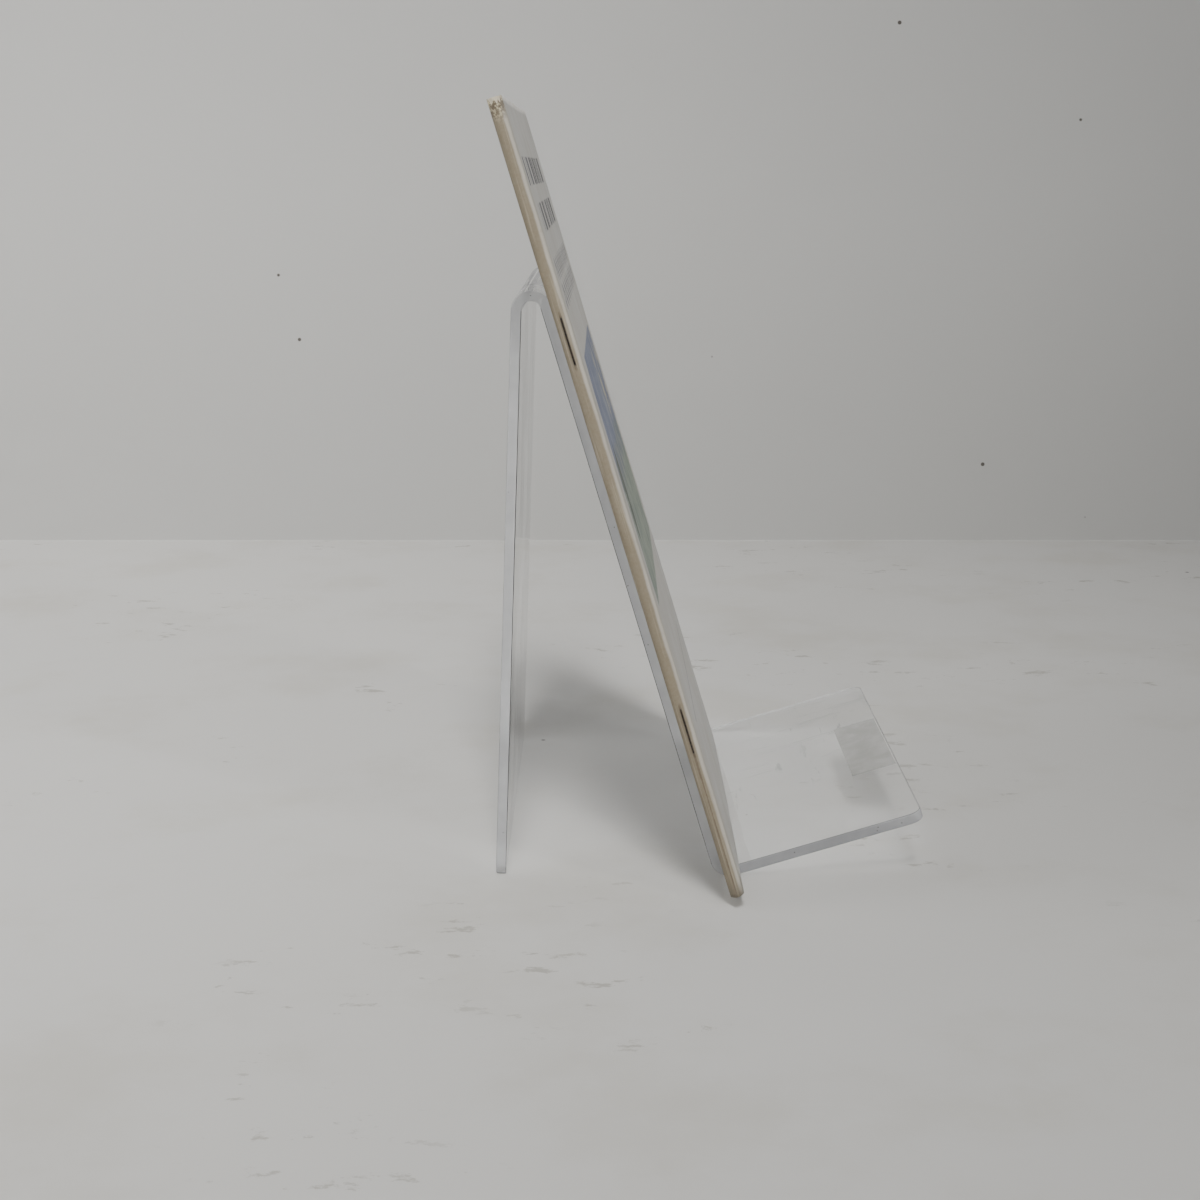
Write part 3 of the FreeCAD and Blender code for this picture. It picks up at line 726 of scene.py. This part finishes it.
def aged_stock_group():
    """Aged cover stock: cream then tan along the fold, the tan partly painted shade; foxing, a dark
    crease, rubbed edges and a painted contact shadow at the foot.
    """
    group = bpy.data.node_groups.new("aged_stock", "ShaderNodeTree")
    group.interface.new_socket("Position", in_out="INPUT", socket_type="NodeSocketVector")
    group.interface.new_socket("Colour", in_out="OUTPUT", socket_type="NodeSocketColor")
    group.interface.new_socket("Rough", in_out="OUTPUT", socket_type="NodeSocketFloat")
    group.interface.new_socket("Relief", in_out="OUTPUT", socket_type="NodeSocketFloat")
    nodes, links = group.nodes, group.links
    source = nodes.new("NodeGroupInput").outputs["Position"]
    result = nodes.new("NodeGroupOutput")
    parts = nodes.new("ShaderNodeSeparateXYZ")
    links.new(source, parts.inputs[0])
    across, through, upright = parts.outputs
    cloud = noise_in(nodes, links, source, 26, 5, 0.6)
    fibre = noise_in(nodes, links, source, 900, 3, 0.6)
    shade = mixed(nodes, links, window(nodes, links, cloud, 0.35, 0.7), COVER_PALE, COVER_CLOUD)
    wander = times(nodes, links, math_of(nodes, links, "SUBTRACT", cloud, 0.5), 0.0022)
    # Along the fold: cream at the front, then a tan that is partly yellowing and partly painted shade
    # on the back of the round; streaked where it has been rubbed.
    back_tan_and_shade = window(nodes, links, math_of(nodes, links, "ADD", through, wander), -0.0020, -0.0010)
    rim = mixed(nodes, links, back_tan_and_shade, FOLD_CREAM, FOLD_TAN_AND_SHADE)
    streak = nodes.new("ShaderNodeMapping")
    streak.inputs["Scale"].default_value = (900, 900, 22)
    links.new(source, streak.inputs["Vector"])
    rubbed = noise_in(nodes, links, streak.outputs[0], 1.0, 4, 0.65)
    rim = mixed(nodes, links, window(nodes, links, rubbed, 0.5, 0.75, 0, 0.45), rim, FOLD_RUBBED)
    far = math_of(nodes, links, "ADD", across, times(nodes, links, wander, 4.0))
    aged = window(nodes, links, far, 0.0030, 0.020, 1, 0)
    shade = mixed(nodes, links, aged, shade, rim)
    # A dark crack low down the middle of the fold, and dirt round each staple.
    middle = math_of(nodes, links, "ABSOLUTE", through, 0)
    crack = window(nodes, links, math_of(nodes, links, "ADD", middle, wander), 0.00005, 0.00028, 1, 0)
    crack = times(nodes, links, crack, window(nodes, links, upright, 0.045, 0.075, 1, 0))
    crack = times(nodes, links, crack, window(nodes, links, across, 0.0012, 0.0022, 1, 0))
    shade = mixed(nodes, links, times(nodes, links, crack, 0.75), shade, CRACK_BROWN)
    for share in STAPLE_HEIGHTS:
        away = math_of(nodes, links, "SUBTRACT", upright, share * LEAF_HEIGHT)
        away = math_of(nodes, links, "ABSOLUTE", away, 0)
        rust = window(nodes, links, away, 0.008, 0.012, 1, 0)
        rust = times(nodes, links, rust, window(nodes, links, middle, 0.0003, 0.0006, 0.75, 0))
        rust = times(nodes, links, rust, window(nodes, links, across, 0.0020, 0.0035, 1, 0))
        shade = mixed(nodes, links, rust, shade, STAPLE_DIRT)
    # Torn layers at the head, a painted contact shadow along the foot, foxing and fibres.
    mottle = noise_in(nodes, links, source, 650, 4, 0.7)
    head = window(nodes, links, upright, LEAF_HEIGHT - 0.010, LEAF_HEIGHT - 0.003)
    head = times(nodes, links, head, window(nodes, links, across, 0.003, 0.006, 1, 0))
    torn = mixed(nodes, links, window(nodes, links, mottle, 0.47, 0.56), TORN_DARK, TORN_PALE)
    shade = mixed(nodes, links, times(nodes, links, head, 0.85), shade, torn)
    # Painted contact shadow: the lowest few millimetres of the fold are darkened where they stand on
    # the ledge.
    foot_shade_mask = times(nodes, links, window(nodes, links, upright, 0.001, 0.007, 0.6, 0), aged)
    shade = mixed(nodes, links, foot_shade_mask, shade, FOOT_CONTACT_SHADE)
    spot = noise_in(nodes, links, source, 210, 2, 0.5)
    shade = mixed(nodes, links, window(nodes, links, spot, 0.70, 0.76, 0, 0.35), shade, FOXING)
    shade = mixed(nodes, links, window(nodes, links, fibre, 0.3, 0.7, 0, 0.12), shade, COVER_FIBRE)
    links.new(shade, result.inputs["Colour"])
    links.new(window(nodes, links, cloud, 0.3, 0.7, 0.62, 0.78), result.inputs["Rough"])
    relief = math_of(nodes, links, "ADD", fibre, times(nodes, links, rubbed, 0.6))
    links.new(relief, result.inputs["Relief"])
    return group


aged_stock = aged_stock_group()


INK = (0.04, 0.04, 0.06, 1)
LINE_INK = (0.09, 0.09, 0.12, 1)
STROKE_INK = (0.20, 0.20, 0.20, 1)
SKY = ((0.15, 0.18, 0.28, 1), (0.25, 0.28, 0.38, 1))
GLOW = (0.62, 0.57, 0.36, 1)
HILLS = ((0.16, 0.20, 0.22, 1), (0.30, 0.31, 0.31, 1))
MEADOW = ((0.20, 0.25, 0.21, 1), (0.36, 0.40, 0.33, 1))
TREE = (0.075, 0.095, 0.08, 1)
TITLE_BARS = (
    (0.072, 0.107, 0.09, 0.90),
    (0.130, 0.165, 0.16, 0.48),
    (0.130, 0.165, 0.54, 0.92),
)
BARS_IN_A_BAND = 16
WAVED_LINES = ((0.211, 13, 0.009), (0.2445, 11, 0.010))
PICTURE = (0.322, 0.640, 0.10, 0.90)


def front_print(nodes, links, place, paper):
    """A plain generic cover print: bands of bars, two waved lines, a landscape and a stroke.

    Places are shares of the cover: down from its head and across from its spine.
    """
    parts = nodes.new("ShaderNodeSeparateXYZ")
    links.new(place, parts.inputs[0])
    across = math_of(nodes, links, "DIVIDE", parts.outputs[0], LEAF_WIDTH)
    up = math_of(nodes, links, "DIVIDE", parts.outputs[2], LEAF_HEIGHT)
    down = math_of(nodes, links, "SUBTRACT", 1.0, up)
    grain = noise_in(nodes, links, place, 1400, 2, 0.5)

    def by(first, second):
        return times(nodes, links, first, second)

    def less(first, second):
        return math_of(nodes, links, "SUBTRACT", first, second)

    def plus(first, second):
        return math_of(nodes, links, "ADD", first, second)

    def power(value, exponent):
        return math_of(nodes, links, "POWER", value, exponent)

    def between(value, low, high, soft=0.0015):
        rising = window(nodes, links, value, low - soft, low + soft)
        return by(rising, window(nodes, links, value, high - soft, high + soft, 1, 0))

    def inked(mask, colour, strength):
        amount = by(mask, window(nodes, links, grain, 0.3, 0.7, strength * 0.75, strength))
        return mixed(nodes, links, amount, paper, colour)

    def comb(count):
        column = nodes.new("ShaderNodeTexNoise")
        column.noise_dimensions = "1D"
        column.inputs["Scale"].default_value = count
        links.new(across, column.inputs["W"])
        return window(nodes, links, column.outputs["Fac"], 0.47, 0.49)

    for top, bottom, left, right in TITLE_BARS:
        band = by(between(down, top, bottom), between(across, left, right))
        paper = inked(by(band, comb(BARS_IN_A_BAND)), INK, 0.95)
    for middle, waves, swing in WAVED_LINES:
        turns = by(across, waves * 2 * math.pi)
        swung = by(math_of(nodes, links, "SINE", turns, 0), swing)
        off = math_of(nodes, links, "ABSOLUTE", less(less(down, middle), swung), 0)
        line = by(window(nodes, links, off, 0.0044, 0.0062, 1, 0), between(across, 0.10, 0.93))
        paper = inked(line, LINE_INK, 0.8)

    # The landscape: a hazy sky over hills and a meadow, in a frame with one arched corner.
    rolling = noise_in(nodes, links, place, 16, 3, 0.5)
    paint = noise_in(nodes, links, place, 70, 5, 0.65, 0.6)
    ridge = plus(down, by(less(rolling, 0.5), 0.10))
    sky = mixed(nodes, links, window(nodes, links, paint, 0.35, 0.7), *SKY)
    glow = by(between(down, 0.342, 0.442, 0.03), window(nodes, links, across, 0.45, 0.70))
    glow = by(glow, window(nodes, links, paint, 0.48, 0.60))
    sky = mixed(nodes, links, by(glow, 0.8), sky, GLOW)
    hills = mixed(nodes, links, window(nodes, links, paint, 0.4, 0.65), *HILLS)
    meadow = mixed(nodes, links, window(nodes, links, paint, 0.38, 0.68), *MEADOW)
    view = mixed(nodes, links, window(nodes, links, ridge, 0.462, 0.472), sky, hills)
    view = mixed(nodes, links, window(nodes, links, ridge, 0.498, 0.516), view, meadow)
    from_tree = plus(power(by(less(across, 0.20), 1.3), 2), power(less(down, 0.501), 2))
    from_tree = plus(power(from_tree, 0.5), by(paint, 0.16))
    tree = window(nodes, links, from_tree, 0.125, 0.138, 1, 0)
    view = mixed(nodes, links, tree, view, TREE)
    top, bottom, left, right = PICTURE
    frame_mask = by(between(down, top, bottom), between(across, left, right))
    short_across = math_of(nodes, links, "MAXIMUM", less(0.26, across), 0.0)
    short_down = math_of(nodes, links, "MAXIMUM", less(0.427, down), 0.0)
    arch = power(plus(power(short_across, 2), power(short_down, 2)), 0.5)
    frame_mask = by(frame_mask, window(nodes, links, arch, 0.145, 0.150, 1, 0))
    printed = by(frame_mask, window(nodes, links, grain, 0.3, 0.7, 0.78, 0.95))
    paper = mixed(nodes, links, printed, paper, view)
    slope = plus(down, by(across, 0.075))
    stroke = by(between(slope, 0.823, 0.829, 0.0012), between(across, 0.2, 0.75))
    return inked(stroke, STROKE_INK, 0.6)


def cover_finish(name, printed):
    """The cover stock's finish, with or without the print on the front."""
    material, nodes, links, shader = new_material(name)
    own = album_coordinates(nodes)
    links.new(nodes.new("ShaderNodeTexCoord").outputs["Object"], own.inputs["Vector"])
    place = own.outputs[0]
    stock = nodes.new("ShaderNodeGroup")
    stock.node_tree = aged_stock
    links.new(place, stock.inputs["Position"])
    shade = stock.outputs["Colour"]
    if printed:
        shade = front_print(nodes, links, place, shade)
    links.new(shade, shader.inputs["Base Color"])
    links.new(stock.outputs["Rough"], shader.inputs["Roughness"])
    shader.inputs["Specular IOR Level"].default_value = 0.3
    links.new(bump_of(nodes, links, stock.outputs["Relief"], 0.25, 0.00015), shader.inputs["Normal"])
    return material


plain_cover = cover_finish("aged_cover_stock", False)
printed_cover = cover_finish("printed_cover_stock", True)
front_cover = as_object("album_front_cover", in_album(front_stock()), printed_cover)
front_cover.data.materials.append(plain_cover)
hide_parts("front_cover")
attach(front_cover, "front_cover")
back_y = HALF_ALBUM - COVER_STOCK
back_stock = leaf_panel(COVER_STOCK, back_y, LEAF_WIDTH, LEAF_HEIGHT, BACK_GRID, TRIMMED_CORNER)
back_cover = as_object("album_back_cover", in_album(back_stock), plain_cover)
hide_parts("back_cover")
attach(back_cover, "album_back")
cover_spine = as_object("album_cover_spine", in_album(spine_stock()), plain_cover)
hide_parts("cover_spine")
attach(cover_spine, "album_back")

# ---- The folded page sheets -----------------------------------------------------------
# Sixteen sheets of cream paper, folded together and stapled through the fold, then trimmed.
# Each is one piece of paper: its front leaf bends at the gutter when the album opens.
PAGE = 0.00015
FOLD_GAP = 0.00005
SHEETS = 16
FRONT_LEAF_GRID = (26, 4)
BACK_LEAF_GRID = (8, 4)
FOLD_GRID = (10, 36)
THINNEST = 0.78
THICKEST = 0.92
UNEVEN_SIDE = 0.0006
UNEVEN_HEAD = 0.0005
UNEVEN_FOLD = 0.0016
PAGE_CREAM = (0.66, 0.62, 0.52, 1)
PAGE_CLOUD = (0.60, 0.55, 0.44, 1)
PAGE_EDGE = (0.52, 0.46, 0.34, 1)
PAGE_LAYER = (0.40, 0.35, 0.26, 1)
PAGE_FIBRE = (0.45, 0.41, 0.33, 1)
PAGE_SPOT = (0.38, 0.28, 0.16, 1)


def page_finish():
    """Uncoated cream paper, browner towards its cut edges, with soft fibres and foxing."""
    material, nodes, links, shader = new_material("cream_page_paper")
    own = album_coordinates(nodes)
    links.new(nodes.new("ShaderNodeTexCoord").outputs["Object"], own.inputs["Vector"])
    place = own.outputs[0]
    parts = nodes.new("ShaderNodeSeparateXYZ")
    links.new(place, parts.inputs[0])
    across = parts.outputs["X"]
    upright = parts.outputs["Z"]
    cloud = noise_in(nodes, links, place, 30, 5, 0.6)
    shade = mixed(nodes, links, window(nodes, links, cloud, 0.3, 0.7), PAGE_CREAM, PAGE_CLOUD)
    to_side = math_of(nodes, links, "SUBTRACT", LEAF_WIDTH, across)
    to_head = math_of(nodes, links, "SUBTRACT", LEAF_HEIGHT, upright)
    to_edge = math_of(nodes, links, "MINIMUM", upright, to_head)
    to_edge = math_of(nodes, links, "MINIMUM", to_side, to_edge)
    to_edge = math_of(nodes, links, "ADD", to_edge, times(nodes, links, cloud, 0.006))
    shade = mixed(nodes, links, window(nodes, links, to_edge, 0.001, 0.014, 0.5, 0), shade, PAGE_EDGE)
    layers = nodes.new("ShaderNodeMapping")
    layers.inputs["Scale"].default_value = (3, 5200, 3)
    links.new(place, layers.inputs["Vector"])
    layer = noise_in(nodes, links, layers.outputs[0], 1.0, 2, 0.5)
    shade = mixed(nodes, links, window(nodes, links, layer, 0.4, 0.62, 0, 0.35), shade, PAGE_LAYER)
    fibre = noise_in(nodes, links, place, 1100, 3, 0.6)
    shade = mixed(nodes, links, window(nodes, links, fibre, 0.35, 0.75, 0, 0.14), shade, PAGE_FIBRE)
    spot = noise_in(nodes, links, place, 240, 2, 0.5)
    shade = mixed(nodes, links, window(nodes, links, spot, 0.71, 0.77, 0, 0.4), shade, PAGE_SPOT)
    links.new(shade, shader.inputs["Base Color"])
    links.new(window(nodes, links, cloud, 0.3, 0.7, 0.72, 0.88), shader.inputs["Roughness"])
    shader.inputs["Specular IOR Level"].default_value = 0.2
    links.new(bump_of(nodes, links, fibre, 0.2, 0.0001), shader.inputs["Normal"])
    return material


page_paper = page_finish()
for number in range(1, SHEETS + 1):
    depth = FOLD_GAP + (SHEETS - number) * PAGE
    name = f"sheet_{number:02d}"
    film = PAGE * rng.uniform(THINNEST, THICKEST)
    width = LEAF_WIDTH - rng.uniform(0.0, UNEVEN_SIDE)
    height = LEAF_HEIGHT - rng.uniform(0.0, UNEVEN_HEAD)
    work = leaf_panel(film, -depth - PAGE, width, height, FRONT_LEAF_GRID, TRIMMED_CORNER)
    front = as_object(f"{name}_front", in_album(work), page_paper)
    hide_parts(f"{name}_front_leaf")
    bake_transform(front)
    work = leaf_panel(film, depth, width, height, BACK_LEAF_GRID, TRIMMED_CORNER)
    back = as_object(f"{name}_back", in_album(work), page_paper)
    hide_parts(f"{name}_back_leaf")
    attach(back, "album_back")
    fold_height = height - rng.uniform(0.0, UNEVEN_FOLD)
    work = spine_wrap(depth + PAGE, film, fold_height, FOLD_GRID)
    folded = as_object(f"{name}_folded_edge", in_album(work), page_paper)
    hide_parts(f"{name}_fold")
    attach(folded, "album_back")

# ---- Two wire staples ----------------------------------------------------------------
# Thin round steel wire, tarnished almost black, driven through the fold from outside and
# clinched inside. Each keeps the plain round wire of the design and gets its finish here.
WIRE_METALLIC = 0.35
WIRE_BLACK = (0.014, 0.012, 0.011, 1)
WIRE_BROWN = (0.055, 0.040, 0.030, 1)

wire_material, nodes, links, shader = new_material("tarnished_wire")
place = nodes.new("ShaderNodeTexCoord").outputs["Object"]
stain = noise_in(nodes, links, place, 700, 4)
tarnish = mixed(nodes, links, window(nodes, links, stain, 0.4, 0.65), WIRE_BLACK, WIRE_BROWN)
links.new(tarnish, shader.inputs["Base Color"])
shader.inputs["Metallic"].default_value = WIRE_METALLIC
links.new(window(nodes, links, stain, 0.3, 0.7, 0.35, 0.6), shader.inputs["Roughness"])
for name in ("upper_staple", "lower_staple"):
    wire = frame["nodes"][name]
    wire.data.materials.clear()
    wire.data.materials.append(wire_material)
